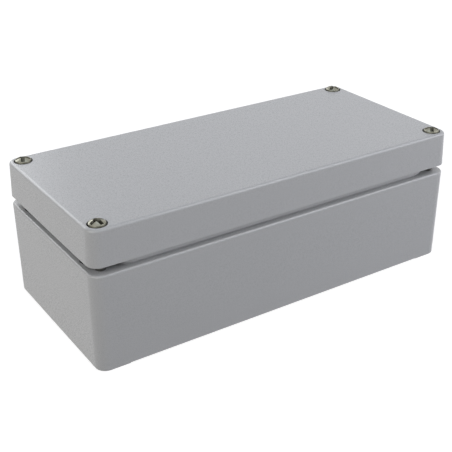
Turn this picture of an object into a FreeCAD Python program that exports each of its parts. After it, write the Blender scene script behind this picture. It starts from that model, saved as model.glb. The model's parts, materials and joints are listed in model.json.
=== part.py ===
"""Die cast aluminium box: drafted base, lid with a gasket groove, captive lid screws and earth terminals.

Frame: millimetres, +Z up, +X along the box, +Y to its back. The origin is the middle of the plane that
the two foot strips stand on.
"""

import FreeCAD, Part
import math
import os

import Sketcher

# Driving dimensions, in millimetres unless the name says degrees or turns.
SIZES = {
    # Outline, shared by the base's rim and the lid's lower edge
    "box_length": 175.0,
    "box_width": 80.0,
    "corner_radius": 5.0,
    # Heights, from the table up
    "base_height": 41.6,
    "seam_gap": 3.4,
    "lid_height": 15.0,
    # Base shell
    "base_draft_degrees": 0.5,
    "cavity_draft_degrees": 0.8,
    "base_wall": 4.5,
    "floor_top": 4.2,
    "floor_rounding": 2.0,
    "rim_rounding": 0.9,
    "foot_rounding": 0.5,
    "foot_length": 13.2,
    "foot_height": 0.5,
    # Corner columns, which carry the lid screws and the mounting holes
    "column_length": 14.4,
    "column_width": 20.5,
    "column_rounding": 4.0,
    "cavity_rounding": 3.5,
    # Tongue on the rim, and the lid's groove and lip around it
    "tongue_wall": 1.5,
    "tongue_height": 3.0,
    "tongue_bevel": 0.3,
    "groove_clearance": 0.6,
    "lip_wall": 1.2,
    "lip_drop": 1.75,
    "rib_wall": 1.5,
    # Gasket foamed into the groove
    "gasket_height": 2.9,
    "imprint_depth": 0.6,
    "imprint_clearance": 0.3,
    # Lid shell
    "lid_draft_degrees": 2.0,
    "lid_plate": 3.5,
    "lid_rounding": 1.2,
    "hollow_draft_degrees": 1.5,
    "hollow_rounding": 1.5,
    "corner_core_wall": 3.0,
    "corner_core_rounding": 1.5,
    # Lid screws, one at each corner
    "screw_inset_x": 6.0,
    "screw_inset_y": 5.7,
    "screw_boss_radius": 4.6,
    "counterbore_diameter": 7.8,
    "counterbore_depth": 2.4,
    "seat_web": 3.0,
    "screw_hole_diameter": 4.5,
    "screw_head_diameter": 7.0,
    "screw_head_height": 2.7,
    "screw_crown_rise": 1.9,
    "screw_waist_diameter": 3.0,
    "thread_diameter": 4.0,
    "thread_pitch": 0.7,
    "thread_turns": 12.0,
    "thread_show": 3.2,
    "thread_clearance": 0.075,
    "thread_point": 0.6,
    "screw_bore_spare": 2.0,
    "recess_span": 5.4,
    "recess_arm": 1.4,
    "recess_floor_span": 2.0,
    "recess_floor_arm": 0.8,
    "recess_depth": 2.8,
    # Retaining washers, which keep the screws in the lid
    "retainer_diameter": 5.6,
    "retainer_bore": 3.15,
    "retainer_height": 1.0,
    "retainer_lift": 0.1,
    "retainer_pocket_diameter": 6.0,
    # Stops under the lid's corners, which meet the rim and set the seam's height
    "stop_inset_x": 9.6,
    "stop_inset_y": 8.5,
    "stop_diameter": 2.6,
    # Mounting holes, in the corner columns outside the seal
    "mount_inset_x": 6.0,
    "mount_inset_y": 14.0,
    "mount_pocket_diameter": 8.5,
    "mount_hole_diameter": 4.8,
    "mount_seat": 6.5,
    # Bosses on the cavity's floor for a mounting plate
    "plate_boss_spacing_x": 132.0,
    "plate_boss_spacing_y": 50.0,
    "plate_boss_diameter": 8.0,
    "plate_boss_height": 6.0,
    "plate_boss_bore": 3.3,
    "plate_boss_bore_depth": 7.5,
    # Earth terminals, one in the base and one in the lid
    "earth_inset": 11.6,
    "earth_pad_side": 10.6,
    "earth_pad_rounding": 1.5,
    "earth_pad_height": 5.0,
    "earth_bore_depth": 6.5,
    "clamp_side": 9.0,
    "clamp_plate": 1.2,
    "clamp_lip": 1.0,
    "clamp_bore": 4.6,
    "lock_washer_diameter": 7.4,
    "lock_washer_bore": 4.3,
    "lock_washer_height": 0.9,
    "lock_washer_slit": 0.8,
    "earth_head_diameter": 7.0,
    "earth_head_height": 2.2,
    "earth_crown_rise": 0.6,
    "earth_screw_reach": 5.0,
}

# Sides of the box at which a corner lies: along X, along Y, and the words that name it
CORNERS = [
    (-1, -1, "front_left"),
    (1, -1, "front_right"),
    (-1, 1, "back_left"),
    (1, 1, "back_right"),
]

SHEET = "Sizes"

# Heights and slopes that differ by less than this count as equal
CLOSE = 1e-3


class Measure:
    """A size with the expression that binds it to the sheet, and what it comes to now."""

    def __init__(self, text, value):
        self.text = text
        self.value = value

    def joined(self, sign, other, value):
        text = other.text if isinstance(other, Measure) else repr(other)
        return Measure(f"({self.text} {sign} {text})", value)

    def __add__(self, other):
        return self.joined("+", other, self.value + number(other))

    def __sub__(self, other):
        return self.joined("-", other, self.value - number(other))

    def __mul__(self, other):
        return self.joined("*", other, self.value * number(other))

    def __truediv__(self, other):
        return self.joined("/", other, self.value / number(other))

    def __neg__(self):
        return Measure(f"(-1 * {self.text})", -self.value)


def number(measure):
    return measure.value if isinstance(measure, Measure) else measure


def fill_sheet(doc):
    """The spreadsheet of driving dimensions, one row each: its name, and its value under that alias."""
    sheet = doc.addObject("Spreadsheet::Sheet", SHEET)
    for row, (name, value) in enumerate(SIZES.items(), start=1):
        sheet.set(f"A{row}", name)
        sheet.set(f"B{row}", str(value))
        sheet.setAlias(f"B{row}", name)
    doc.recompute()
    return {
        name: Measure(f"{SHEET}.{name}", float(sheet.get(name))) for name in SIZES
    }


def bind(feature, path, measure):
    """Ties a property to the sheet. A bare number is used as it is."""
    feature.setExpression(path, measure.text if isinstance(measure, Measure) else repr(measure))


def new_body(doc, label):
    body = doc.addObject("PartDesign::Body", label)
    body.Label = label
    return body


def place(body, x=None, y=None, z=None, turn=None):
    """Stands a body at measured coordinates, after a fixed turn given as (axis, degrees)."""
    if turn:
        body.Placement.Rotation = FreeCAD.Rotation(FreeCAD.Vector(*turn[0]), turn[1])
    for letter, measure in (("x", x), ("y", y), ("z", z)):
        if measure is not None:
            bind(body, f"Placement.Base.{letter}", measure)


def new_sketch(body, name, level=0.0, plane="XY_Plane"):
    """A sketch on one of the body's own planes, lifted along its normal to the level."""
    sketch = body.newObject("Sketcher::SketchObject", name)
    role = next(f for f in body.Origin.OriginFeatures if f.Role == plane)
    sketch.AttachmentSupport = [(role, "")]
    sketch.MapMode = "FlatFace"
    if isinstance(level, Measure):
        bind(sketch, "AttachmentOffset.Base.z", level)
    return sketch


def constrain(sketch, kind, *places):
    """Adds a constraint. A last place that is a measure is the constraint's value, bound to the sheet."""
    *where, last = places
    if not isinstance(last, Measure):
        return sketch.addConstraint(Sketcher.Constraint(kind, *places))
    index = sketch.addConstraint(Sketcher.Constraint(kind, *where, last.value))
    bind(sketch, f"Constraints[{index}]", last)
    return index


def hold_point(sketch, geometry, end, along, sign, measure):
    """Holds a point at sign times the measure from the origin, along X or Y."""
    origin, point = (-1, 1), (geometry, end)
    first, second = (origin, point) if sign > 0 else (point, origin)
    constrain(sketch, f"Distance{along}", *first, *second, measure)


def add_outline(sketch, corners):
    """Draws a closed outline whose sides run along X or Y.

    Each corner is (sign of x, x, sign of y, y, radius), in order around the outline. A radius of None
    leaves the corner sharp.
    """
    points = [
        FreeCAD.Vector(sx * x.value, sy * y.value, 0) for sx, x, sy, y, _ in corners
    ]
    count = len(corners)
    ways = [
        (points[(i + 1) % count] - points[i]).normalize() for i in range(count)
    ]
    radii = [number(radius) or 0.0 for *_, radius in corners]
    sides = []
    for i in range(count):
        after = (i + 1) % count
        start = points[i] + ways[i] * radii[i]
        end = points[after] - ways[i] * radii[after]
        side = sketch.addGeometry(Part.LineSegment(start, end))
        level = abs(ways[i].y) < CLOSE
        constrain(sketch, "Horizontal" if level else "Vertical", side)
        sx, x, sy, y, _ = corners[i]
        if level:
            hold_point(sketch, side, 1, "Y", sy, y)
        else:
            hold_point(sketch, side, 1, "X", sx, x)
        sides.append(side)
    for i in range(count):
        before = sides[i - 1]
        arriving, leaving = ways[i - 1], ways[i]
        if not radii[i]:
            constrain(sketch, "Coincident", before, 2, sides[i], 1)
            continue
        start = points[i] - arriving * radii[i]
        end = points[i] + leaving * radii[i]
        centre = start + leaving * radii[i]
        left_turn = arriving.cross(leaving).z > 0
        first, last = (start, end) if left_turn else (end, start)
        circle = Part.Circle(centre, FreeCAD.Vector(0, 0, 1), radii[i])
        arc = sketch.addGeometry(
            Part.ArcOfCircle(circle, angle_of(first - centre), angle_of(last - centre))
        )
        constrain(sketch, "Tangent", before, 2, arc, 1 if left_turn else 2)
        constrain(sketch, "Tangent", arc, 2 if left_turn else 1, sides[i], 1)
        constrain(sketch, "Radius", arc, corners[i][4])


def angle_of(vector):
    return math.atan2(vector.y, vector.x)


def add_rectangle(sketch, half_x, half_y, radius=None):
    """A rectangle about the origin, with rounded corners if a radius is given."""
    add_outline(
        sketch,
        [(sx, half_x, sy, half_y, radius) for sx, sy in ((-1, -1), (1, -1), (1, 1), (-1, 1))],
    )


def add_circle(sketch, diameter, sx=0, x=None, sy=0, y=None):
    """A circle at the origin, or at sx times x, sy times y."""
    centre = FreeCAD.Vector(sx * x.value if sx else 0, sy * y.value if sy else 0, 0)
    circle = sketch.addGeometry(
        Part.Circle(centre, FreeCAD.Vector(0, 0, 1), diameter.value / 2)
    )
    constrain(sketch, "Diameter", circle, diameter)
    if not sx and not sy:
        constrain(sketch, "Coincident", circle, 3, -1, 1)
        return
    for along, sign, measure in (("X", sx, x), ("Y", sy, y)):
        if sign:
            hold_point(sketch, circle, 3, along, sign, measure)
        else:
            constrain(sketch, "PointOnObject", circle, 3, -2 if along == "X" else -1)


def add_four_circles(sketch, diameter, x, y):
    for sx, sy, _ in CORNERS:
        add_circle(sketch, diameter, sx, x, sy, y)


def pad(body, sketch, length, down=False):
    feature = body.newObject("PartDesign::Pad", f"{sketch.Name}_pad")
    feature.Profile = sketch
    bind(feature, "Length", length)
    feature.Reversed = down
    return feature


def pocket(body, sketch, length, up=False, draft=None):
    """Cuts a sketch's outline down, or up. With a draft the cut narrows away from the sketch."""
    feature = body.newObject("PartDesign::Pocket", f"{sketch.Name}_pocket")
    feature.Profile = sketch
    bind(feature, "Length", length)
    feature.Reversed = up
    if draft:
        bind(feature, "TaperAngle", -draft)
    return feature


def draft_sides(body, angle, widest_up):
    """Leans the sides of a plain pad inward, away from its upper or its lower face."""
    base = body.Tip
    sides, widest = [], []
    for i, face in enumerate(base.Shape.Faces, start=1):
        across = face.normalAt(0, 0).z
        if abs(across) < CLOSE:
            sides.append(f"Face{i}")
        elif (across > 0) == widest_up:
            widest.append(f"Face{i}")
    feature = body.newObject("PartDesign::Draft", f"{base.Name}_draft")
    feature.Base = (base, sides)
    feature.NeutralPlane = (base, widest)
    bind(feature, "Angle", angle)
    feature.Reversed = widest_up
    body.Document.recompute()
    return feature


def cut_between(body, first, second):
    """Cuts a flat-sided hollow that runs from one sketch to a smaller one like it at another level."""
    feature = body.newObject("PartDesign::SubtractiveLoft", f"{first.Name}_loft")
    feature.Profile = first
    feature.Sections = [second]
    feature.Ruled = True
    return feature


def dress_edges(body, kind, path, measure, wanted):
    """Treats the edges of the body's last feature that pass the test."""
    base = body.Tip
    names = [
        f"Edge{i}" for i, edge in enumerate(base.Shape.Edges, start=1) if wanted(edge)
    ]
    feature = body.newObject(f"PartDesign::{kind}", f"{base.Name}_{kind.lower()}")
    feature.Base = (base, names)
    bind(feature, path, measure)
    body.Document.recompute()
    return feature


def round_edges(body, radius, wanted):
    return dress_edges(body, "Fillet", "Radius", radius, wanted)


def bevel_edges(body, width, wanted):
    return dress_edges(body, "Chamfer", "Size", width, wanted)


def at_level(level):
    """A test for edges that lie at one height."""

    def test(edge):
        box = edge.BoundBox
        height = number(level)
        return max(abs(box.ZMin - height), abs(box.ZMax - height)) < CLOSE

    return test


class Layout:
    """Levels, half lengths and outlines that several pieces share."""

    def __init__(self, size):
        self.size = size
        self.half_x = size["box_length"] / 2
        self.half_y = size["box_width"] / 2
        self.rim = size["base_height"]
        self.tongue_top = self.rim + size["tongue_height"]
        self.lid_edge = self.rim + size["seam_gap"]
        self.lid_top = self.lid_edge + size["lid_height"]
        self.lip_bottom = self.lid_edge - size["lip_drop"]
        self.groove_roof = self.tongue_top + size["gasket_height"]
        self.plate_underside = self.lid_top - size["lid_plate"]
        self.screw_seat = self.lid_top - size["counterbore_depth"]
        self.screw_x = self.half_x - size["screw_inset_x"]
        self.screw_y = self.half_y - size["screw_inset_y"]
        self.mount_x = self.half_x - size["mount_inset_x"]
        self.mount_y = self.half_y - size["mount_inset_y"]
        self.earth_x = self.half_x - size["earth_inset"]
        self.thread_length = size["thread_pitch"] * size["thread_turns"]
        self.groove_outer = size["tongue_wall"] + size["groove_clearance"]
        self.lip_outer = self.groove_outer + size["lip_wall"]

    def add_seal_outline(self, sketch, outward=0.0):
        """The cross-shaped outline of the cavity's mouth, moved outward, or inward if it is negative.

        It runs along the long and short walls and steps inward round the four corner columns. Corners that
        point out of the cavity grow with the move, and the columns' own corners shrink with it.
        """
        size = self.size
        long_x = self.half_x - size["base_wall"] + outward
        long_y = self.half_y - size["column_width"] + outward
        wide_x = self.half_x - size["column_length"] + outward
        wide_y = self.half_y - size["base_wall"] + outward
        out = size["cavity_rounding"] + outward
        inner = size["column_rounding"] - outward
        quarter = [(long_x, long_y, out), (wide_x, long_y, inner), (wide_x, wide_y, out)]
        corners = []
        for sx, sy in ((1, 1), (-1, 1), (-1, -1), (1, -1)):
            run = quarter if sx * sy > 0 else quarter[::-1]
            corners += [(sx, x, sy, y, radius) for x, y, radius in run]
        add_outline(sketch, corners)


def build_base(doc, size, layout):
    """The base: drafted tub on two foot strips, with corner columns and a tongue round its mouth."""
    body = new_body(doc, "enclosure_base")
    outline = new_sketch(body, "base_outline")
    add_rectangle(outline, layout.half_x, layout.half_y, size["corner_radius"])
    pad(body, outline, layout.rim)
    doc.recompute()
    draft_sides(body, size["base_draft_degrees"], widest_up=True)
    round_edges(body, size["rim_rounding"], at_level(layout.rim))
    round_edges(body, size["foot_rounding"], at_level(0.0))

    relief = new_sketch(body, "foot_relief")
    add_rectangle(relief, layout.half_x - size["foot_length"], layout.half_y)
    pocket(body, relief, size["foot_height"], up=True)

    tongue = new_sketch(body, "tongue", layout.rim)
    layout.add_seal_outline(tongue, size["tongue_wall"])
    pad(body, tongue, size["tongue_height"])

    mouth = new_sketch(body, "cavity_mouth", layout.tongue_top)
    layout.add_seal_outline(mouth)
    depth = layout.tongue_top - size["floor_top"]
    pocket(body, mouth, depth, draft=size["cavity_draft_degrees"])
    doc.recompute()
    round_edges(body, size["floor_rounding"], at_level(size["floor_top"]))
    bevel_edges(body, size["tongue_bevel"], at_level(layout.tongue_top))

    plate_x = size["plate_boss_spacing_x"] / 2
    plate_y = size["plate_boss_spacing_y"] / 2
    bosses = new_sketch(body, "plate_bosses", size["floor_top"])
    add_four_circles(bosses, size["plate_boss_diameter"], plate_x, plate_y)
    pad(body, bosses, size["plate_boss_height"])
    plate_top = size["floor_top"] + size["plate_boss_height"]
    plate_bores = new_sketch(body, "plate_bores", plate_top)
    add_four_circles(plate_bores, size["plate_boss_bore"], plate_x, plate_y)
    pocket(body, plate_bores, size["plate_boss_bore_depth"])

    add_earth_pad(body, "base", layout, size["floor_top"], up=True)

    screw_bores = new_sketch(body, "lid_screw_bores", layout.rim)
    bore = size["thread_diameter"] + size["thread_clearance"] * 2
    add_four_circles(screw_bores, bore, layout.screw_x, layout.screw_y)
    pocket(body, screw_bores, layout.thread_length + size["screw_bore_spare"])

    pockets = new_sketch(body, "mount_pockets", layout.rim)
    add_four_circles(
        pockets, size["mount_pocket_diameter"], layout.mount_x, layout.mount_y
    )
    pocket(body, pockets, layout.rim - size["mount_seat"])
    holes = new_sketch(body, "mount_holes", size["mount_seat"])
    add_four_circles(holes, size["mount_hole_diameter"], layout.mount_x, layout.mount_y)
    pocket(body, holes, size["mount_seat"])
    return body


def add_earth_pad(body, where, layout, level, up):
    """A square pad with a blind bore for an earth terminal, standing up or hanging down from the level."""
    size = layout.size
    pad_sketch = new_sketch(body, f"{where}_earth_pad", level)
    half = size["earth_pad_side"] / 2
    add_outline(
        pad_sketch,
        [
            (1, layout.earth_x + half * side, sy, half, size["earth_pad_rounding"])
            for side, sy in ((-1.0, -1), (1.0, -1), (1.0, 1), (-1.0, 1))
        ],
    )
    pad(body, pad_sketch, size["earth_pad_height"], down=not up)
    face = level + size["earth_pad_height"] if up else level - size["earth_pad_height"]
    bore_sketch = new_sketch(body, f"{where}_earth_bore", face)
    bore = size["thread_diameter"] + size["thread_clearance"] * 2
    add_circle(bore_sketch, bore, 1, layout.earth_x)
    pocket(body, bore_sketch, size["earth_bore_depth"], up=not up)


def build_lid(doc, size, layout):
    """The lid: drafted cover with a groove for the gasket, counterbored screw holes and corner stops."""
    body = new_body(doc, "enclosure_lid")
    outline = new_sketch(body, "lid_outline", layout.lid_edge)
    add_rectangle(outline, layout.half_x, layout.half_y, size["corner_radius"])
    pad(body, outline, size["lid_height"])
    doc.recompute()
    draft_sides(body, size["lid_draft_degrees"], widest_up=False)
    round_edges(body, size["lid_rounding"], at_level(layout.lid_top))

    lip = new_sketch(body, "lip", layout.lid_edge)
    layout.add_seal_outline(lip, layout.lip_outer)
    pad(body, lip, size["lip_drop"], down=True)

    hollow = new_sketch(body, "hollow", layout.lip_bottom)
    layout.add_seal_outline(hollow, -(size["groove_clearance"] + size["rib_wall"]))
    depth = layout.plate_underside - layout.lip_bottom
    pocket(body, hollow, depth, up=True, draft=size["hollow_draft_degrees"])
    doc.recompute()
    round_edges(body, size["hollow_rounding"], at_level(layout.plate_underside))

    groove = new_sketch(body, "groove", layout.lip_bottom)
    layout.add_seal_outline(groove, layout.groove_outer)
    layout.add_seal_outline(groove, -size["groove_clearance"])
    pocket(body, groove, layout.groove_roof - layout.lip_bottom, up=True)

    add_corner_cores(body, layout)

    stops = new_sketch(body, "lid_stops", layout.lid_edge)
    stop_x = layout.half_x - size["stop_inset_x"]
    stop_y = layout.half_y - size["stop_inset_y"]
    add_four_circles(stops, size["stop_diameter"], stop_x, stop_y)
    pad(body, stops, size["seam_gap"], down=True)

    add_earth_pad(body, "lid", layout, layout.plate_underside, up=False)

    counterbores = new_sketch(body, "counterbores", layout.lid_top)
    add_four_circles(
        counterbores, size["counterbore_diameter"], layout.screw_x, layout.screw_y
    )
    pocket(body, counterbores, size["counterbore_depth"])
    holes = new_sketch(body, "lid_screw_holes", layout.screw_seat)
    add_four_circles(holes, size["screw_hole_diameter"], layout.screw_x, layout.screw_y)
    pocket(body, holes, size["seat_web"])
    ceiling = layout.screw_seat - size["seat_web"]
    pockets = new_sketch(body, "retainer_pockets", ceiling)
    add_four_circles(
        pockets, size["retainer_pocket_diameter"], layout.screw_x, layout.screw_y
    )
    pocket(body, pockets, ceiling - layout.lid_edge)
    return body


def add_corner_cores(body, layout):
    """Cored hollows under the lid's corners, between the metal round each screw and the groove's wall."""
    size = layout.size
    cores = new_sketch(body, "corner_cores", layout.lid_edge)
    outer_x = layout.half_x - size["corner_core_wall"]
    inner_x = layout.half_x - size["column_length"] + layout.lip_outer
    outer_y = layout.screw_y - size["screw_boss_radius"]
    inner_y = layout.half_y - size["column_width"] + layout.lip_outer
    radius = size["corner_core_rounding"]
    for sx, sy, _ in CORNERS:
        run = [(inner_x, inner_y), (outer_x, inner_y), (outer_x, outer_y), (inner_x, outer_y)]
        if sx * sy < 0:
            run.reverse()
        add_outline(cores, [(sx, x, sy, y, radius) for x, y in run])
    pocket(body, cores, layout.plate_underside - layout.lid_edge, up=True)


def build_gasket(doc, size, layout):
    """The foamed gasket, which fills the groove's roof and takes the imprint of the tongue."""
    body = new_body(doc, "lid_gasket")
    bottom = layout.tongue_top - size["imprint_depth"]
    ring = new_sketch(body, "gasket_ring", bottom)
    layout.add_seal_outline(ring, layout.groove_outer)
    layout.add_seal_outline(ring, -size["groove_clearance"])
    pad(body, ring, layout.groove_roof - bottom)
    imprint = new_sketch(body, "tongue_imprint", bottom)
    layout.add_seal_outline(imprint, size["tongue_wall"] + size["imprint_clearance"])
    layout.add_seal_outline(imprint, -size["imprint_clearance"])
    pocket(body, imprint, size["imprint_depth"], up=True)
    return body


def add_profile(sketch, points, crown=None):
    """Draws a closed half section in the plane of X and Z, to be turned about the Z axis.

    Each point is (radius, sign of height, height). A radius or height of None lies on an axis. The side
    that starts at the point numbered crown is an arc about the turning axis.
    """
    spots = [
        FreeCAD.Vector(number(r) or 0.0, sign * (number(height) or 0.0), 0)
        for r, sign, height in points
    ]
    count = len(points)
    sides = []
    for i in range(count):
        start, end = spots[i], spots[(i + 1) % count]
        if i == crown:
            sides.append(sketch.addGeometry(arc_about_axis(start, end)))
        else:
            sides.append(sketch.addGeometry(Part.LineSegment(start, end)))
    for i in range(count):
        constrain(sketch, "Coincident", sides[i - 1], 2, sides[i], 1)
        radius, sign, height = points[i]
        if radius is None:
            constrain(sketch, "PointOnObject", sides[i], 1, -2)
        else:
            hold_point(sketch, sides[i], 1, "X", 1, radius)
        if height is None:
            constrain(sketch, "PointOnObject", sides[i], 1, -1)
        else:
            hold_point(sketch, sides[i], 1, "Y", sign, height)
    if crown is not None:
        constrain(sketch, "PointOnObject", sides[crown], 3, -2)


def arc_about_axis(start, end):
    """The arc from one point to another, anticlockwise, whose centre is on the vertical axis."""
    rise = end.y - start.y
    centre_y = (start.y + end.y) / 2 - (start.x**2 - end.x**2) / (2 * rise)
    centre = FreeCAD.Vector(0, centre_y, 0)
    circle = Part.Circle(centre, FreeCAD.Vector(0, 0, 1), (start - centre).Length)
    return Part.ArcOfCircle(circle, angle_of(start - centre), angle_of(end - centre))


def revolve(body, sketch):
    feature = body.newObject("PartDesign::Revolution", f"{sketch.Name}_revolution")
    feature.Profile = sketch
    feature.ReferenceAxis = (sketch, ["V_Axis"])
    feature.Angle = 360.0
    return feature


def add_cross_recess(body, name, size, crown_height):
    """A cross recess that tapers to its floor, cut down from the top of a crowned head."""
    upper = new_sketch(body, f"{name}_recess_mouth", crown_height)
    add_cross(upper, size["recess_span"] / 2, size["recess_arm"] / 2)
    lower = new_sketch(body, f"{name}_recess_floor", crown_height - size["recess_depth"])
    add_cross(lower, size["recess_floor_span"] / 2, size["recess_floor_arm"] / 2)
    cut_between(body, upper, lower)


def add_cross(sketch, reach, half_arm):
    """A sharp-cornered cross about the origin."""
    quarter = [(reach, half_arm), (half_arm, half_arm), (half_arm, reach)]
    corners = []
    for sx, sy in ((1, 1), (-1, 1), (-1, -1), (1, -1)):
        run = quarter if sx * sy > 0 else quarter[::-1]
        corners += [(sx, x, sy, y, None) for x, y in run]
    add_outline(sketch, corners)


def build_lid_screw(doc, size, layout, side_x, side_y, where):
    """A captive lid screw: crowned head, slim waist and threaded end. Its own zero is the head's seat."""
    body = new_body(doc, f"lid_screw_{where}")
    head = size["screw_head_diameter"] / 2
    waist = size["screw_waist_diameter"] / 2
    thread = size["thread_diameter"] / 2
    crown = size["screw_head_height"] + size["screw_crown_rise"]
    shoulder = layout.screw_seat - layout.rim - size["thread_show"]
    point = layout.screw_seat - layout.rim + layout.thread_length
    profile = new_sketch(body, f"lid_screw_profile_{where}", plane="XZ_Plane")
    add_profile(
        profile,
        [
            (None, -1, point),
            (thread - size["thread_point"], -1, point),
            (thread, -1, point - size["thread_point"]),
            (thread, -1, shoulder),
            (waist, -1, shoulder),
            (waist, 1, None),
            (head, 1, None),
            (head, 1, size["screw_head_height"]),
            (None, 1, crown),
        ],
        crown=7,
    )
    revolve(body, profile)
    add_cross_recess(body, f"lid_screw_{where}", size, crown)
    place_at_corner(body, layout, side_x, side_y, layout.screw_seat)
    return body


def place_at_corner(body, layout, side_x, side_y, level):
    place(body, layout.screw_x * float(side_x), layout.screw_y * float(side_y), level)


def build_retainer(doc, size, layout, side_x, side_y, where):
    """A washer on the screw's waist, wider than the lid's screw hole. Its own zero is its underside."""
    body = new_body(doc, f"screw_retainer_{where}")
    ring = new_sketch(body, f"retainer_ring_{where}")
    add_circle(ring, size["retainer_diameter"])
    add_circle(ring, size["retainer_bore"])
    pad(body, ring, size["retainer_height"])
    level = layout.rim + size["thread_show"] + size["retainer_lift"]
    place_at_corner(body, layout, side_x, side_y, level)
    return body


def build_earth_clamp(doc, size, where):
    """A square clamp bent down at two sides, which holds a wire on the pad. Its zero is the pad's face."""
    body = new_body(doc, f"{where}_earth_clamp")
    half = size["clamp_side"] / 2
    height = size["clamp_lip"] + size["clamp_plate"]
    blank = new_sketch(body, f"{where}_clamp_blank")
    add_rectangle(blank, half, half)
    pad(body, blank, height)
    channel = new_sketch(body, f"{where}_clamp_channel")
    add_rectangle(channel, half - size["clamp_plate"], half)
    pocket(body, channel, size["clamp_lip"], up=True)
    bore = new_sketch(body, f"{where}_clamp_bore")
    add_circle(bore, size["clamp_bore"])
    pocket(body, bore, height, up=True)
    return body


def build_lock_washer(doc, size, where):
    """A split washer on top of the clamp. Its zero is the pad's face."""
    body = new_body(doc, f"{where}_earth_lock_washer")
    level = size["clamp_lip"] + size["clamp_plate"]
    ring = new_sketch(body, f"{where}_lock_ring", level)
    add_circle(ring, size["lock_washer_diameter"])
    add_circle(ring, size["lock_washer_bore"])
    pad(body, ring, size["lock_washer_height"])
    slit = new_sketch(body, f"{where}_lock_slit", level)
    half = size["lock_washer_slit"] / 2
    inside = size["lock_washer_bore"] / 2 - half
    outside = size["lock_washer_diameter"] / 2
    sides = ((-1, inside), (-1, outside), (1, outside), (1, inside))
    add_outline(slit, [(1, x, sy, half, None) for sy, x in sides])
    pocket(body, slit, size["lock_washer_height"], up=True)
    return body


def build_earth_screw(doc, size, where):
    """The screw through an earth terminal's washer and clamp. Its zero is the pad's face."""
    body = new_body(doc, f"{where}_earth_screw")
    seat = size["clamp_lip"] + size["clamp_plate"] + size["lock_washer_height"]
    head = size["earth_head_diameter"] / 2
    thread = size["thread_diameter"] / 2
    crown = seat + size["earth_head_height"] + size["earth_crown_rise"]
    profile = new_sketch(body, f"{where}_earth_screw_profile", plane="XZ_Plane")
    add_profile(
        profile,
        [
            (None, -1, size["earth_screw_reach"]),
            (thread - size["thread_point"], -1, size["earth_screw_reach"]),
            (thread, -1, size["earth_screw_reach"] - size["thread_point"]),
            (thread, 1, seat),
            (head, 1, seat),
            (head, 1, seat + size["earth_head_height"]),
            (None, 1, crown),
        ],
        crown=5,
    )
    revolve(body, profile)
    add_cross_recess(body, f"{where}_earth_screw", size, crown)
    return body


def build_earth_terminal(doc, size, layout, where, level, hanging):
    """An earth terminal's three pieces, on a pad that faces up, or down if it is hanging."""
    bodies = [
        build_earth_screw(doc, size, where),
        build_earth_clamp(doc, size, where),
        build_lock_washer(doc, size, where),
    ]
    for body in bodies:
        place(body, layout.earth_x, None, level, ((1, 0, 0), 180.0) if hanging else None)
    return bodies


def build_pieces(doc, size):
    layout = Layout(size)
    pieces = [
        build_base(doc, size, layout),
        build_lid(doc, size, layout),
        build_gasket(doc, size, layout),
    ]
    for side_x, side_y, where in CORNERS:
        pieces.append(build_lid_screw(doc, size, layout, side_x, side_y, where))
        pieces.append(build_retainer(doc, size, layout, side_x, side_y, where))
    base_pad = size["floor_top"] + size["earth_pad_height"]
    lid_pad = layout.plate_underside - size["earth_pad_height"]
    pieces += build_earth_terminal(doc, size, layout, "base", base_pad, hanging=False)
    pieces += build_earth_terminal(doc, size, layout, "lid", lid_pad, hanging=True)
    return pieces


def check_and_write(doc, pieces):
    """Stops on any failed object or unsound solid, and then writes each piece to its own file."""
    failed = [
        obj.Label for obj in doc.Objects if {"Invalid", "Error"} & set(obj.State)
    ]
    unsound = [
        piece.Label
        for piece in pieces
        if piece.Shape.isNull() or not piece.Shape.isValid() or len(piece.Shape.Solids) != 1
    ]
    if failed or unsound:
        raise RuntimeError(f"failed objects: {failed}; unsound pieces: {unsound}")
    os.makedirs("parts", exist_ok=True)
    for piece in pieces:
        piece.Shape.exportStep(f"parts/{piece.Label}.step")
        box = piece.Shape.optimalBoundingBox()
        print(
            f"{piece.Label}: {piece.Shape.Volume:.1f} mm3,"
            f" x {box.XMin:.2f} to {box.XMax:.2f},"
            f" y {box.YMin:.2f} to {box.YMax:.2f},"
            f" z {box.ZMin:.2f} to {box.ZMax:.2f}"
        )


def main():
    doc = FreeCAD.newDocument("die_cast_box")
    size = fill_sheet(doc)
    pieces = build_pieces(doc, size)
    doc.recompute()
    check_and_write(doc, pieces)


main()
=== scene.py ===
"""Looks of the die cast aluminium box: powder coat, bare tapped holes, real threads and a foamed gasket."""

import json
import math

import bmesh
import bpy
from mathutils import Matrix, Vector

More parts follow.
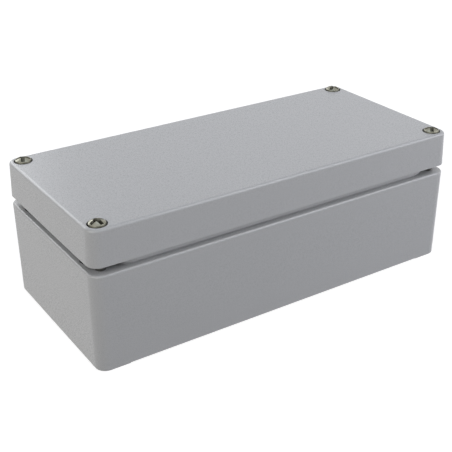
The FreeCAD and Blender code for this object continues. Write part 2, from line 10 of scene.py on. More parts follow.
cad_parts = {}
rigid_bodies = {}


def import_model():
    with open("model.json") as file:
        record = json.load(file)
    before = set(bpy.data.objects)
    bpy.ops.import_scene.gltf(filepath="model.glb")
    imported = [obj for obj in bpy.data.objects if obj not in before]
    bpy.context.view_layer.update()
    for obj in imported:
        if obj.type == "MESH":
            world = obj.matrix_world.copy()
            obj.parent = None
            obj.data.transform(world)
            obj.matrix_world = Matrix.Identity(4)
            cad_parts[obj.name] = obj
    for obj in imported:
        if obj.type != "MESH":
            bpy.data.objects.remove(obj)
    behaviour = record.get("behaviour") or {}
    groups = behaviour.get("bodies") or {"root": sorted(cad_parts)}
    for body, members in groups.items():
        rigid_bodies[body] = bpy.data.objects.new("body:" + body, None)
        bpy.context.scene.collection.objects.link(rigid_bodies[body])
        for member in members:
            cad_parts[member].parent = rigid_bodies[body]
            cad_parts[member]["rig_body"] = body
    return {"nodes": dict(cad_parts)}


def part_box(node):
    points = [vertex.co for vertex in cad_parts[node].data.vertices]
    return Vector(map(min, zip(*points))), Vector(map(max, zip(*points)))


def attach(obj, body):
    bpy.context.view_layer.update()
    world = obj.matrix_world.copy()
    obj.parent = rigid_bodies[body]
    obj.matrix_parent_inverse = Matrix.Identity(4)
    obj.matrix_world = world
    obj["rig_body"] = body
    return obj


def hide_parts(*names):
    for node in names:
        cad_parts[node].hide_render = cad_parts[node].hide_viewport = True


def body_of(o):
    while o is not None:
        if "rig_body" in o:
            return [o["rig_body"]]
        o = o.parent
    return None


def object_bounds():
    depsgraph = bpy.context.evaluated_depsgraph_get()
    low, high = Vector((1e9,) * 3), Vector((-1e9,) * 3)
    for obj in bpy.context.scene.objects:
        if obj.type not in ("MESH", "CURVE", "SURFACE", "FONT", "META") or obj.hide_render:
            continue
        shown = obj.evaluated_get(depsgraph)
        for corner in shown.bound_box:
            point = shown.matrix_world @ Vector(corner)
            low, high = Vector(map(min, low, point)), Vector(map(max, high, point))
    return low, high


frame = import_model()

CAD_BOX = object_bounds()
MM = 0.001

# The camera stands where the photograph's did. Angles are in degrees, lengths in millimetres.
CAMERA_AZIMUTH = -33.112
CAMERA_ELEVATION = 27.029
CAMERA_ROLL = -0.294
CAMERA_DISTANCE = 377.448
CAMERA_TARGET = (-16.981, -19.018, 34.218)
CAMERA_LENS = 72.555

# Colours as linear values
PAINT = (0.385, 0.392, 0.404)
BARE_ALUMINIUM = (0.78, 0.78, 0.77)
STAINLESS = (0.25, 0.245, 0.20)
# Steel darkened for the screws' cross recesses and the sides of their heads: painted shade
SHADED_STEEL = (0.10, 0.098, 0.08)
# Steel of the threads, darkened so that they sink into the shade in the seam: painted shade
SHADED_THREAD_STEEL = (0.22, 0.22, 0.21)
ZINC = (0.66, 0.66, 0.62)
NYLON = (0.76, 0.74, 0.66)
FOAM = (0.018, 0.018, 0.02)
FLOOR = (0.35, 0.35, 0.35)

# Sizes in millimetres. Screw heights count from the head's seat. A head has its side's and crown's heights.
HEAD_RADIUS = 3.5
HEAD_EDGE = 0.12
HEAD_SHOULDER = 0.6
DOME_RADIUS = 3.25
SEAT_PLAY = 0.02
LID_SCREW_SEAT = 57.6
LID_HEAD = (2.9, 1.15)
LID_SCREW_SHOULDER = -12.8
LID_SCREW_TIP = -24.4
EARTH_HEAD = (2.2, 0.6)
EARTH_SCREW_TIP = -8.1
# A cross recess: its reach and half its arms' width, at the crown and on its floor, and its middle's radii
RECESS_TOP = (3.7, 0.85)
RECESS_FLOOR = (1.6, 0.5)
RECESS_CONE = (0.62, 1.32)
RECESS_DEPTH = 2.8
RECESS_WEB = 0.6
RECESS_BEVEL = 0.09
CUT_SPARE = 0.4
WAIST_RADIUS = 1.5
THREAD_CREST = 2.0
THREAD_ROOT = 1.57
THREAD_PITCH = 0.7
THREAD_RUNOUT = 1.6
TIP_CHAMFER = 0.6
SCREW_BORE = 2.075
PLATE_BORE = 1.65
PLATE_BOSSES = (66.0, 25.0)
EARTH_PAD_HALF = 5.3
BASE_PAD_TOP = 9.2
LID_PAD_FACE = 51.5
CLAMP_HALF = 4.5
CLAMP_PLATE = 1.2
CLAMP_LIP = 1.0
CLAMP_BORE = 2.3
WASHER_OUTER = 3.7
WASHER_BORE = 2.15
WASHER_HEIGHT = 0.9
RETAINER_RADIUS = 2.8
RETAINER_BORE = 1.575
RETAINER_HEIGHT = 1.0

# The lid screws' turns as they were done up, in degrees
SCREW_TURNS = {"front_left": 14.0, "front_right": 52.0, "back_left": -22.0, "back_right": 33.0}

# Facets round a whole turn, along a thread's turn, over a crown and round a bend
TURN_STEPS = 64
THREAD_STEPS = 40
CROWN_STEPS = 14
BEND_STEPS = 6

# Material slots of a screw. The cross recess and the head's side take a darkened metal as painted shade, and
# the thread takes another darkened metal, also painted shade.
SHADE_SLOT = 1
THREAD_SLOT = 2


def new_material(name):
    """A node material, its node tree and its main shader."""
    material = bpy.data.materials.new(name)
    material.use_nodes = True
    tree = material.node_tree
    return material, tree, tree.nodes["Principled BSDF"]


def add_node(tree, kind, **settings):
    """A node with its inputs set by name, with underscores for spaces."""
    node = tree.nodes.new(f"ShaderNode{kind}")
    for name, value in settings.items():
        node.inputs[name.replace("_", " ")].default_value = value
    return node


def add_noise(tree, size_mm, detail=2.0, roughness=0.5):
    """Noise whose features are about this many millimetres, in the piece's own coordinates."""
    place = add_node(tree, "TexCoord")
    noise = add_node(tree, "TexNoise", Scale=1.0 / (size_mm * MM), Detail=detail, Roughness=roughness)
    tree.links.new(place.outputs["Object"], noise.inputs["Vector"])
    return noise


def map_range(tree, source, low, high, from_low=0.0, from_high=1.0):
    """A value between low and high, as the source goes from from_low to from_high."""
    node = add_node(tree, "MapRange", From_Min=from_low, From_Max=from_high, To_Min=low, To_Max=high)
    tree.links.new(source, node.inputs["Value"])
    return node.outputs["Result"]


def mix_colour(tree, factor, first, second):
    """A colour between two, by a factor from another node."""
    node = tree.nodes.new("ShaderNodeMix")
    node.data_type = "RGBA"
    tree.links.new(factor, node.inputs["Factor"])
    for name, colour in (("A", first), ("B", second)):
        socket = next(s for s in node.inputs if s.name == name and s.type == "RGBA")
        socket.default_value = (*colour, 1.0)
    return next(s for s in node.outputs if s.type == "RGBA")


def add_bump(tree, height, depth_mm, normal=None):
    """Bumps a surface by this many millimetres between the height's 0 and 1."""
    bump = add_node(tree, "Bump", Strength=1.0, Distance=depth_mm * MM)
    tree.links.new(height, bump.inputs["Height"])
    if normal:
        tree.links.new(normal, bump.inputs["Normal"])
    return bump.outputs["Normal"]


def shade(colour, factor):
    """A darker or lighter colour."""
    return tuple(channel * factor for channel in colour)


def powder_coat():
    """Satin silver-grey powder coat: orange peel, with a finer grain in it that sparkles in low light."""
    material, tree, shader = new_material("powder_coat_satin")
    cloud = add_noise(tree, 34.0, detail=3.0)
    tree.links.new(
        mix_colour(tree, cloud.outputs["Fac"], shade(PAINT, 0.985), shade(PAINT, 1.015)),
        shader.inputs["Base Color"],
    )
    peel = add_noise(tree, 1.1, detail=1.0)
    grain = add_noise(tree, 0.32, detail=2.0)
    normal = add_bump(tree, peel.outputs["Fac"], 0.02)
    normal = add_bump(tree, grain.outputs["Fac"], 0.018, normal)
    tree.links.new(normal, shader.inputs["Normal"])
    tree.links.new(map_range(tree, grain.outputs["Fac"], 0.21, 0.35), shader.inputs["Roughness"])
    return material


def metal(name, colour, roughness, mark_size_mm, mark_depth_mm):
    """A bare metal with fine marks."""
    material, tree, shader = new_material(name)
    shader.inputs["Metallic"].default_value = 1.0
    marks = add_noise(tree, mark_size_mm, detail=3.0)
    tree.links.new(
        mix_colour(tree, marks.outputs["Fac"], shade(colour, 0.80), shade(colour, 1.10)),
        shader.inputs["Base Color"],
    )
    tree.links.new(
        map_range(tree, marks.outputs["Fac"], roughness * 0.7, roughness * 1.3),
        shader.inputs["Roughness"],
    )
    tree.links.new(add_bump(tree, marks.outputs["Fac"], mark_depth_mm), shader.inputs["Normal"])
    return material


def tapped_metal():
    """Bare aluminium with a thread's ridges, one for each pitch of height, its colour darker in the grooves
    as painted shade.
    """
    material, tree, shader = new_material("aluminium_tapped")
    shader.inputs["Metallic"].default_value = 1.0
    place = add_node(tree, "TexCoord")
    wave = add_node(tree, "TexWave", Scale=1.0 / (THREAD_PITCH * MM) * math.pi / 10.0)
    wave.wave_type = "BANDS"
    wave.bands_direction = "Z"
    tree.links.new(place.outputs["Object"], wave.inputs["Vector"])
    # Darker in the grooves between the ridges: painted shade
    tree.links.new(
        mix_colour(tree, wave.outputs["Fac"], shade(BARE_ALUMINIUM, 0.55), BARE_ALUMINIUM),
        shader.inputs["Base Color"],
    )
    tree.links.new(map_range(tree, wave.outputs["Fac"], 0.42, 0.26), shader.inputs["Roughness"])
    tree.links.new(add_bump(tree, wave.outputs["Fac"], 0.25), shader.inputs["Normal"])
    return material


def foam():
    """Matt foamed gasket with a fine open skin."""
    material, tree, shader = new_material("gasket_foam_matt")
    cells = add_noise(tree, 0.35, detail=2.0)
    tree.links.new(
        mix_colour(tree, cells.outputs["Fac"], shade(FOAM, 0.7), shade(FOAM, 1.6)),
        shader.inputs["Base Color"],
    )
    tree.links.new(map_range(tree, cells.outputs["Fac"], 0.75, 0.95), shader.inputs["Roughness"])
    tree.links.new(add_bump(tree, cells.outputs["Fac"], 0.03), shader.inputs["Normal"])
    return material


def nylon():
    """Natural nylon, slightly waxy."""
    material, tree, shader = new_material("nylon_natural")
    cloud = add_noise(tree, 1.6, detail=2.0)
    tree.links.new(
        mix_colour(tree, cloud.outputs["Fac"], shade(NYLON, 0.95), shade(NYLON, 1.05)),
        shader.inputs["Base Color"],
    )
    tree.links.new(map_range(tree, cloud.outputs["Fac"], 0.34, 0.46), shader.inputs["Roughness"])
    shader.inputs["Subsurface Weight"].default_value = 0.2
    shader.inputs["Subsurface Scale"].default_value = 0.8 * MM
    return material


def add_lathe(bm, profile, steps=TURN_STEPS):
    """Turns a line of (radius, height) points about the Z axis. A radius of 0 closes it to one point."""
    rings = []
    for radius, height in profile:
        if radius == 0:
            rings.append([bm.verts.new((0, 0, height))])
            continue
        angles = (2 * math.pi * i / steps for i in range(steps))
        rings.append([bm.verts.new((radius * math.cos(a), radius * math.sin(a), height)) for a in angles])
    for lower, upper in zip(rings, rings[1:]):
        for i in range(steps):
            corners = [
                lower[i % len(lower)],
                lower[(i + 1) % len(lower)],
                upper[(i + 1) % len(upper)],
                upper[i % len(upper)],
            ]
            kept = list(dict.fromkeys(corners))
            bm.faces.new(kept)


def add_ring(bm, profile, steps=TURN_STEPS):
    """Turns a closed section about the Z axis."""
    add_lathe(bm, [*profile, profile[0]], steps)
    bmesh.ops.remove_doubles(bm, verts=bm.verts, dist=1e-6)


def add_prism(bm, outline, low, high, low_outline=None):
    """A solid between two outlines with as many points, at two heights."""
    lower = [bm.verts.new((x, y, low)) for x, y in (low_outline or outline)]
    upper = [bm.verts.new((x, y, high)) for x, y in outline]
    count = len(outline)
    for i in range(count):
        after = (i + 1) % count
        bm.faces.new((lower[i], lower[after], upper[after], upper[i]))
    bm.faces.new(upper)
    bm.faces.new(lower[::-1])


def cross_outline(reach, half_arm):
    """A cross with square ends."""
    quarter = [(reach, half_arm), (half_arm, half_arm), (half_arm, reach)]
    points = []
    for sx, sy in ((1, 1), (-1, 1), (-1, -1), (1, -1)):
        run = quarter if sx * sy > 0 else quarter[::-1]
        points += [(sx * x, sy * y) for x, y in run]
    return points


def add_thread(bm, top, bottom, steps=THREAD_STEPS):
    """A right-hand helical ridge on a core, which fades in at its top and out at its tip."""
    section = (
        (THREAD_ROOT, 0.0),
        (THREAD_ROOT, 0.15),
        (THREAD_CREST, 0.48),
        (THREAD_CREST, 0.62),
        (THREAD_ROOT, 1.0),
    )
    turns = (top - bottom) / THREAD_PITCH - 1.0
    rows = []
    for i in range(int(turns * steps) + 1):
        angle = -2 * math.pi * i / steps
        start = top - THREAD_PITCH * i / steps
        row = []
        for radius, share in section:
            height = start - share * THREAD_PITCH
            run_in = (top - height) / THREAD_PITCH
            run_out = (height - bottom) / (THREAD_RUNOUT * THREAD_PITCH)
            fade = min(1.0, run_in, run_out)
            reach = THREAD_ROOT + (radius - THREAD_ROOT) * max(0.0, fade)
            row.append(bm.verts.new((reach * math.cos(angle), reach * math.sin(angle), height)))
        rows.append(row)
    for before, after in zip(rows, rows[1:]):
        for j in range(len(section) - 1):
            bm.faces.new((before[j], before[j + 1], after[j + 1], after[j]))


def to_mesh(bm, name):
    """Turns the build mesh, in millimetres, into a mesh in metres."""
    bmesh.ops.recalc_face_normals(bm, faces=bm.faces)
    bmesh.ops.scale(bm, vec=(MM, MM, MM), verts=bm.verts)
    mesh = bpy.data.meshes.new(name)
    bm.to_mesh(mesh)
    bm.free()
    return mesh


def bare_object(mesh):
    """A passing object, to run modifiers on."""
    thing = bpy.data.objects.new(mesh.name, mesh)
    bpy.context.scene.collection.objects.link(thing)
    return thing


def cut_and_bevel(mesh, cutters, bevel_mm):
    """The mesh less the cutters, with its sharp edges bevelled."""
    things = [bare_object(part) for part in (mesh, *cutters)]
    for cutter in things[1:]:
        cut = things[0].modifiers.new("cut", "BOOLEAN")
        cut.operation = "DIFFERENCE"
        cut.solver = "EXACT"
        cut.object = cutter
    bevel = things[0].modifiers.new("bevel", "BEVEL")
    bevel.width = bevel_mm * MM
    bevel.segments = 2
    bevel.limit_method = "ANGLE"
    bevel.angle_limit = math.radians(28)
    graph = bpy.context.evaluated_depsgraph_get()
    result = bpy.data.meshes.new_from_object(things[0].evaluated_get(graph))
    for thing in things:
        bpy.data.objects.remove(thing)
    return result


def soften(mesh, angle=30.0):
    """Shades a mesh smooth, except across edges sharper than this."""
    bm = bmesh.new()
    bm.from_mesh(mesh)
    for edge in bm.edges:
        edge.smooth = len(edge.link_faces) == 2 and edge.calc_face_angle() < math.radians(angle)
    for face in bm.faces:
        face.smooth = True
    bm.to_mesh(mesh)
    bm.free()


def crown_arc(height, rise):
    """The crown's radius of curvature, and its points from the head's edge to its top."""
    dome = (DOME_RADIUS**2 + rise**2) / (2 * rise)
    edge = math.asin(DOME_RADIUS / dome)
    crown = height + rise
    arc = []
    for i in range(CROWN_STEPS, -1, -1):
        angle = edge * i / CROWN_STEPS
        arc.append((dome * math.sin(angle), crown - dome * (1 - math.cos(angle))))
    return dome, arc


def recess_cutters(crown):
    """What the cross recess takes out of a head: a cross that narrows downward, and a cone in its middle."""
    depth = min(RECESS_DEPTH, crown - RECESS_WEB)
    low, high = crown - depth, crown + CUT_SPARE
    grow = 1 + CUT_SPARE / depth
    (reach, half_arm), (floor_reach, floor_half_arm) = RECESS_TOP, RECESS_FLOOR
    top = cross_outline(
        floor_reach + (reach - floor_reach) * grow,
        floor_half_arm + (half_arm - floor_half_arm) * grow,
    )
    cross = bmesh.new()
    add_prism(cross, top, low, high, cross_outline(floor_reach, floor_half_arm))
    inner, outer = RECESS_CONE
    cone = bmesh.new()
    add_lathe(cone, [(0, low - 0.1), (inner, low + 0.3), (outer, high), (0, high)], 16)
    return [to_mesh(cross, "cross"), to_mesh(cone, "cone")]


def add_shank(bm, neck, shoulder, tip):
    """The rod below the head, with its thread from the shoulder to the tip."""
    core = THREAD_ROOT - 0.005
    rod = [(0, tip), (core - 0.45, tip), (core, tip + TIP_CHAMFER), (core, shoulder)]
    if shoulder < 0:
        rod += [(neck, shoulder + 0.1), (neck, 0)]
    add_lathe(bm, rod)
    add_thread(bm, shoulder, tip + 0.1)


def screw_mesh(name, head, shoulder, tip):
    """A crowned, cross-recessed screw with a helical thread. Its zero is the seat of its head."""
    height, rise = head
    crown = height + rise
    dome, arc = crown_arc(height, rise)
    neck = WAIST_RADIUS if shoulder < 0 else THREAD_ROOT
    under = [(0, -1.0), (neck, -1.0), (neck, SEAT_PLAY)]
    side = [
        (HEAD_RADIUS - HEAD_EDGE, SEAT_PLAY),
        (HEAD_RADIUS, HEAD_EDGE + SEAT_PLAY),
        (HEAD_RADIUS, height - HEAD_SHOULDER),
    ]
    body = bmesh.new()
    add_lathe(body, [*under, *side, *arc])
    mesh = cut_and_bevel(to_mesh(body, name), recess_cutters(crown), RECESS_BEVEL)
    # Faces sunk in the cross recess and on the head's side get the darkened slot, as painted shade.
    ball = Vector((0, 0, crown - dome)) * MM
    for face in mesh.polygons:
        sunk = (face.center - ball).length < (dome - 0.07) * MM
        side_on = face.center.z < (height - 0.02) * MM
        face.material_index = SHADE_SLOT if sunk or side_on else 0
    bm = bmesh.new()
    bm.from_mesh(mesh)
    bpy.data.meshes.remove(mesh)
    bmesh.ops.scale(bm, vec=(1 / MM, 1 / MM, 1 / MM), verts=bm.verts)
    head_faces = len(bm.faces)
    add_shank(bm, neck, shoulder, tip)
    bm.faces.ensure_lookup_table()
    for face in bm.faces[head_faces:]:
        face.material_index = THREAD_SLOT
    mesh = to_mesh(bm, name)
    soften(mesh)
    return mesh


def clamp_mesh():
    """A square clamp with its two sides bent down, in rounded bends. Its zero is the face it stands on."""
    top = CLAMP_LIP + CLAMP_PLATE
    bend = 1.1
    inner = CLAMP_HALF - CLAMP_PLATE
    outside = [(CLAMP_HALF, 0.0)]
    outside += [
        (CLAMP_HALF - bend + bend * math.cos(a), top - bend + bend * math.sin(a))
        for a in (math.pi / 2 * i / BEND_STEPS for i in range(BEND_STEPS + 1))
    ]
    inside = [(inner - 0.15, CLAMP_LIP), (inner, CLAMP_LIP - 0.15), (inner, 0.0)]
    half = outside + [(-x, z) for x, z in outside[::-1]]
    half += [(-x, z) for x, z in inside[::-1]] + inside
    plate = bmesh.new()
    add_prism(plate, half, -CLAMP_HALF, CLAMP_HALF)
    bmesh.ops.rotate(plate, matrix=Matrix.Rotation(math.pi / 2, 3, "X"), verts=plate.verts)
    hole = bmesh.new()
    add_lathe(hole, [(0, -1), (CLAMP_BORE, -1), (CLAMP_BORE, top + 1), (0, top + 1)], 48)
    mesh = cut_and_bevel(to_mesh(plate, "earth_clamp"), [to_mesh(hole, "hole")], 0.12)
    soften(mesh)
    return mesh


def washer_mesh():
    """A split spring washer, which climbs a little from one end to the other."""
    steps, gap, climb, soft = 60, 0.12, 0.10, 0.12
    low, high = 0.0, WASHER_HEIGHT - climb
    section = [
        (WASHER_BORE, low + soft),
        (WASHER_BORE + soft, low),
        (WASHER_OUTER - soft, low),
        (WASHER_OUTER, low + soft),
        (WASHER_OUTER, high - soft),
        (WASHER_OUTER - soft, high),
        (WASHER_BORE + soft, high),
        (WASHER_BORE, high - soft),
    ]
    bm = bmesh.new()
    rows = []
    for i in range(steps + 1):
        angle = gap + (2 * math.pi - 2 * gap) * i / steps
        lift = climb * i / steps
        rows.append(
            [bm.verts.new((r * math.cos(angle), r * math.sin(angle), z + lift)) for r, z in section]
        )
    for before, after in zip(rows, rows[1:]):
        for j in range(len(section)):
            k = (j + 1) % len(section)
            bm.faces.new((before[j], before[k], after[k], after[j]))
    bm.faces.new(rows[0])
    bm.faces.new(rows[-1][::-1])
    mesh = to_mesh(bm, "earth_lock_washer")
    soften(mesh)
    return mesh


def retainer_mesh():
    """A retaining washer with soft edges and a chamfered bore."""
    soft = 0.18
    bm = bmesh.new()
    add_ring(
        bm,
        [
            (RETAINER_BORE, soft),
            (RETAINER_BORE + soft, 0),
            (RETAINER_RADIUS - soft, 0),
            (RETAINER_RADIUS, soft),
            (RETAINER_RADIUS, RETAINER_HEIGHT - soft),
            (RETAINER_RADIUS - soft, RETAINER_HEIGHT),
            (RETAINER_BORE + soft, RETAINER_HEIGHT),
            (RETAINER_BORE, RETAINER_HEIGHT - soft),
        ],
    )
    mesh = to_mesh(bm, "screw_retainer")
    soften(mesh)
    return mesh


def seal_outline(outward):
    """The path round the cavity's mouth and its four corner columns, moved outward by millimetres."""
    half_x, half_y, wall, column_x, column_y = 87.5, 40.0, 4.5, 14.4, 20.5
    long_x, long_y = half_x - wall + outward, half_y - column_y + outward
    wide_x, wide_y = half_x - column_x + outward, half_y - wall + outward
    out, inner = 3.5 + outward, 4.0 - outward
    quarter = [(long_x, long_y, out), (wide_x, long_y, inner), (wide_x, wide_y, out)]
    corners = []
    for sx, sy in ((1, 1), (-1, 1), (-1, -1), (1, -1)):
        run = quarter if sx * sy > 0 else quarter[::-1]
        corners += [(Vector((sx * x, sy * y)), radius) for x, y, radius in run]
    points = []
    arc_steps = 10
    for i, (corner, radius) in enumerate(corners):
        before = (corner - corners[i - 1][0]).normalized()
        after = (corners[(i + 1) % len(corners)][0] - corner).normalized()
        centre = corner - before * radius + after * radius
        for step in range(arc_steps + 1):
            angle = math.pi / 2 * step / arc_steps
            points.append(centre - after * radius * math.cos(angle) + before * radius * math.sin(angle))
    return points


def gasket_mesh():
    """The foamed ring: it fills the groove's roof, and beads up on both sides of the tongue's imprint."""
    # Half the section, outward from the path and up from the foot, from the roof down to the imprint
    half = [
        (2.09, 47.49),
        (2.09, 44.32),
        (2.05, 44.12),
        (1.97, 44.03),
        (1.88, 44.08),
        (1.80, 44.30),
        (1.71, 44.53),
        (1.55, 44.60),
    ]
    middle = 0.75
    section = half + [(2 * middle - offset, height) for offset, height in half[::-1]]
    bm = bmesh.new()
    rings = [[bm.verts.new((p.x, p.y, height)) for p in seal_outline(offset)] for offset, height in section]
    count = len(rings[0])
    for k, ring in enumerate(rings):
        after = rings[(k + 1) % len(rings)]
        for i in range(count):
            j = (i + 1) % count
            bm.faces.new((ring[i], ring[j], after[j], after[i]))
    mesh = to_mesh(bm, "gasket_foam_ring")
    soften(mesh, 50.0)
    return mesh


def stand_in(name, mesh, material, node, place=(0, 0, 0), turn=None):
    """A detailed piece in place of a CAD node, on the body that the node rides on."""
    piece = bpy.data.objects.new(name, mesh)
    if not mesh.materials:
        for each in material if isinstance(material, tuple) else (material,):
            mesh.materials.append(each)
    piece.matrix_world = Matrix.Translation(Vector(place) * MM) @ (turn or Matrix())
    bpy.context.scene.collection.objects.link(piece)
    body = body_of(frame["nodes"][node])[0]
    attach(piece, body)
    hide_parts(node)
    return piece


def axis_of(node):
    """The middle of a CAD node's box, seen from above, in millimetres."""
    low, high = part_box(node)
    return (low.x + high.x) / 2 / MM, (low.y + high.y) / 2 / MM


def add_lid_screws(looks, waxy):
    """The four screws in the lid, each with its retaining washer."""
    mesh = screw_mesh("lid_screw", LID_HEAD, LID_SCREW_SHOULDER, LID_SCREW_TIP)
    washer = retainer_mesh()
    for corner, degrees in SCREW_TURNS.items():
        node = f"lid_screw_{corner}"
        x, y = axis_of(node)
        seat = (x, y, LID_SCREW_SEAT)
        turn = Matrix.Rotation(math.radians(degrees), 4, "Z")
        stand_in(f"screw_{corner}_threaded", mesh, looks, node, seat, turn)
        node = f"screw_retainer_{corner}"
        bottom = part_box(node)[0].z / MM
        stand_in(f"retainer_{corner}_ring", washer, waxy, node, (x, y, bottom))


def add_earth_terminals(zinc, shaded_metal):
    """The clamp, lock washer and screw in the base, and the same upside down in the lid."""
    screw = screw_mesh("earth_screw", EARTH_HEAD, 0.0, EARTH_SCREW_TIP)
    clamp = clamp_mesh()
    washer = washer_mesh()
    x, y = axis_of("base_earth_clamp")
    over = Matrix.Rotation(math.pi, 4, "X")
    for where, face, up, turn in (("base", BASE_PAD_TOP, 1, Matrix()), ("lid", LID_PAD_FACE, -1, over)):
        on_clamp = CLAMP_LIP + CLAMP_PLATE
        for kind, mesh, level in (
            ("clamp", clamp, 0.0),
            ("lock_washer", washer, on_clamp),
            ("screw", screw, on_clamp + WASHER_HEIGHT),
        ):
            node = f"{where}_earth_{kind}"
            # The earth screw's recess and head side take the darkened zinc, painted shade.
            look = (zinc, shaded_metal, zinc) if kind == "screw" else zinc
            stand_in(f"{node}_formed", mesh, look, node, (x, y, face + up * level), turn)


def bare_spots(node, material, tests):
    """Gives the faces of a CAD node that pass one of the tests a second material."""
    thing = frame["nodes"][node]
    thing.data.materials.append(material)
    index = len(thing.data.materials) - 1
    for face in thing.data.polygons:
        points = [thing.data.vertices[i].co / MM for i in face.vertices]
        if any(all(test(p) for p in points) for test in tests):
            face.material_index = index


def in_bore(x, y, radius):
    """A test for points on a bore's wall or floor."""
    return lambda p: math.hypot(p.x - x, p.y - y) < radius + 0.01


def on_pad(x, level):
    """A test for points on an earth terminal's machined face."""

    def test(p):
        beside = max(abs(p.x - x), abs(p.y)) < EARTH_PAD_HALF + 0.1
        return beside and abs(p.z - level) < 0.01

    return test


def dress_nodes():
    """Materials for the two castings, and detailed pieces in place of the other nodes."""
    paint = powder_coat()
    tapped = tapped_metal()
    milled = metal("aluminium_milled", BARE_ALUMINIUM, 0.34, 0.7, 0.006)
    for node in ("enclosure_base", "enclosure_lid"):
        for slot in frame["nodes"][node].material_slots:
            slot.material = paint
    earth_x, _ = axis_of("base_earth_clamp")
    bores = [in_bore(earth_x, 0.0, SCREW_BORE)]
    bare_spots("enclosure_lid", milled, [on_pad(earth_x, LID_PAD_FACE)])
    bare_spots("enclosure_lid", tapped, bores)
    bores += [in_bore(*axis_of(f"lid_screw_{corner}"), SCREW_BORE) for corner in SCREW_TURNS]
    boss_x, boss_y = PLATE_BOSSES
    bores += [in_bore(sx * boss_x, sy * boss_y, PLATE_BORE) for sx in (-1, 1) for sy in (-1, 1)]
    bare_spots("enclosure_base", milled, [on_pad(earth_x, BASE_PAD_TOP)])
    bare_spots("enclosure_base", tapped, bores)

    stand_in("gasket_foam_ring", gasket_mesh(), foam(), "lid_gasket")
    # Darkened steel for the screws' recesses and head sides: painted shade
    shaded_metal = metal("steel_painted_shade", SHADED_STEEL, 0.45, 0.5, 0.004)
    steel = metal("stainless_steel_bright", STAINLESS, 0.34, 0.9, 0.03)
    # Darkened steel for the threads, painted shade where they show in the seam
    shaded_thread = metal("steel_thread_painted_shade", SHADED_THREAD_STEEL, 0.4, 0.5, 0.004)
    add_lid_screws((steel, shaded_metal, shaded_thread), nylon())
    zinc = metal("zinc_plate", ZINC, 0.3, 0.6, 0.003)
    # Half-bright zinc for the earth screws' recesses and head sides: painted shade
    add_earth_terminals(zinc, metal("zinc_plate_painted_shade", shade(ZINC, 0.5), 0.4, 0.6, 0.003))


def place_camera():
    """The camera, turned from its azimuth, elevation and roll to its target."""
    azimuth = math.radians(CAMERA_AZIMUTH)
    elevation = math.radians(CAMERA_ELEVATION)
    back = Vector(
        (
            math.sin(azimuth) * math.cos(elevation),
            -math.cos(azimuth) * math.cos(elevation),
            math.sin(elevation),
        )
    )
    right = Vector((math.cos(azimuth), math.sin(azimuth), 0.0))
    turned = Matrix((right, back.cross(right), back)).transposed()
    turned = turned @ Matrix.Rotation(math.radians(CAMERA_ROLL), 3, "Z")
    camera = bpy.data.objects.new("camera", bpy.data.cameras.new("camera"))
    camera.data.lens = CAMERA_LENS
    camera.data.clip_start = 10 * MM
    target = Vector(CAMERA_TARGET) * MM
    camera.matrix_world = Matrix.Translation(target + back * CAMERA_DISTANCE * MM) @ turned.to_4x4()
    bpy.context.scene.collection.objects.link(camera)
    bpy.context.scene.camera = camera


# Softboxes: name, watts, width, height and place in metres, and colour
SOFTBOXES = (
    ("far_sheen", 0.36, 0.80, 0.60, (0.60, 0.92, 0.58), (1.04, 0.97, 0.99)),
    ("right_low", 1.24, 0.60, 0.35, (0.42, -0.34, 0.22), (0.98, 0.98, 1.04)),
    ("right_high", 1.12, 0.40, 0.40, (0.40, -0.42, 0.50), (0.98, 0.98, 1.04)),
    ("rim_spark", 0.20, 0.08, 0.08, (0.19, -0.28, 0.42), (1.0, 1.02, 0.98)),
    ("left_side", 2.50, 0.60, 0.45, (-0.56, -0.28, 0.36), (1.01, 1.0, 0.98)),
    ("left_low", 0.06, 0.20, 0.20, (-0.50, 0.04, 0.12), (1.40, 1.03, 0.57)),
    ("top", 0.15, 0.25, 0.25, (0.02, 0.06, 0.45), (0.80, 0.98, 1.22)),
    ("back_edge", 1.35, 0.50, 0.25, (-0.13, 0.55, 0.34), (0.98, 1.0, 1.02)),
    ("left_spark", 0.14, 0.06, 0.06, (-0.43, -0.13, 0.77), (1.0, 1.0, 1.0)),
)
ROOM_LIGHT = 0.10

# The floor's half width in metres, its glow near the box and far off, and the metres where that changes
FLOOR_REACH = 6.0
FLOOR_GLOW = (0.80, 1.0)
FLOOR_GLOW_REACH = (0.20, 0.60)


def add_softbox(name, watts, width, height, place, colour):
    """An area light turned to the middle of the box, which the camera itself doesn't see."""
    light = bpy.data.lights.new(name, "AREA")
    light.energy = watts
    light.color = colour
    light.shape = "RECTANGLE"
    light.size = width
    light.size_y = height
    box = bpy.data.objects.new(name, light)
    box.location = place
    box.rotation_euler = (Vector((0.0, 0.0, 0.03)) - Vector(place)).to_track_quat("-Z", "Y").to_euler()
    box.visible_camera = False
    bpy.context.scene.collection.objects.link(box)


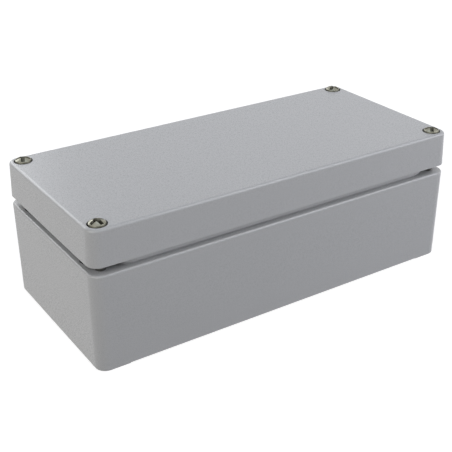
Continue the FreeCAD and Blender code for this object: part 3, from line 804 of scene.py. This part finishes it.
def light_scene():
    """The softboxes, and a white room that the camera sees but that hardly lights the box."""
    for softbox in SOFTBOXES:
        add_softbox(*softbox)
    world = bpy.data.worlds.new("room")
    bpy.context.scene.world = world
    world.use_nodes = True
    tree = world.node_tree
    background = tree.nodes["Background"]
    background.inputs["Color"].default_value = (1.0, 1.0, 1.0, 1.0)
    tree.links.new(seen_or(tree, 1.0, ROOM_LIGHT), background.inputs["Strength"])


def seen_or(tree, seen, unseen):
    """One number for what the camera sees, also in gloss and through glass, and another for light."""
    path = tree.nodes.new("ShaderNodeLightPath")
    total = path.outputs["Is Camera Ray"]
    for name in ("Is Glossy Ray", "Is Transmission Ray"):
        join = tree.nodes.new("ShaderNodeMath")
        join.operation = "MAXIMUM"
        tree.links.new(total, join.inputs[0])
        tree.links.new(path.outputs[name], join.inputs[1])
        total = join.outputs["Value"]
    return map_range(tree, total, unseen, seen)


def lay_floor():
    """A pale floor, which looks white to the camera apart from the box's own faint shadow."""
    mesh = bpy.data.meshes.new("floor")
    level = CAD_BOX[0].z
    sides = ((-1, -1), (1, -1), (1, 1), (-1, 1))
    corners = [(x * FLOOR_REACH, y * FLOOR_REACH, level) for x, y in sides]
    mesh.from_pydata(corners, [], [(0, 1, 2, 3)])
    floor = bpy.data.objects.new("floor", mesh)
    bpy.context.scene.collection.objects.link(floor)
    material, tree, shader = new_material("floor_pale")
    shader.inputs["Base Color"].default_value = (*FLOOR, 1.0)
    shader.inputs["Roughness"].default_value = 1.0
    shader.inputs["Specular IOR Level"].default_value = 0.0
    shader.inputs["Emission Color"].default_value = (1.0, 1.0, 1.0, 1.0)
    place = add_node(tree, "TexCoord")
    away = tree.nodes.new("ShaderNodeVectorMath")
    away.operation = "LENGTH"
    tree.links.new(place.outputs["Object"], away.inputs[0])
    tint = map_range(tree, away.outputs["Value"], *FLOOR_GLOW, *FLOOR_GLOW_REACH)
    glow = tree.nodes.new("ShaderNodeMath")
    glow.operation = "MULTIPLY"
    tree.links.new(seen_or(tree, 1.0, 0.0), glow.inputs[0])
    tree.links.new(tint, glow.inputs[1])
    tree.links.new(glow.outputs["Value"], shader.inputs["Emission Strength"])
    mesh.materials.append(material)


dress_nodes()
place_camera()
light_scene()
lay_floor()
bpy.context.scene.view_settings.view_transform = "Standard"
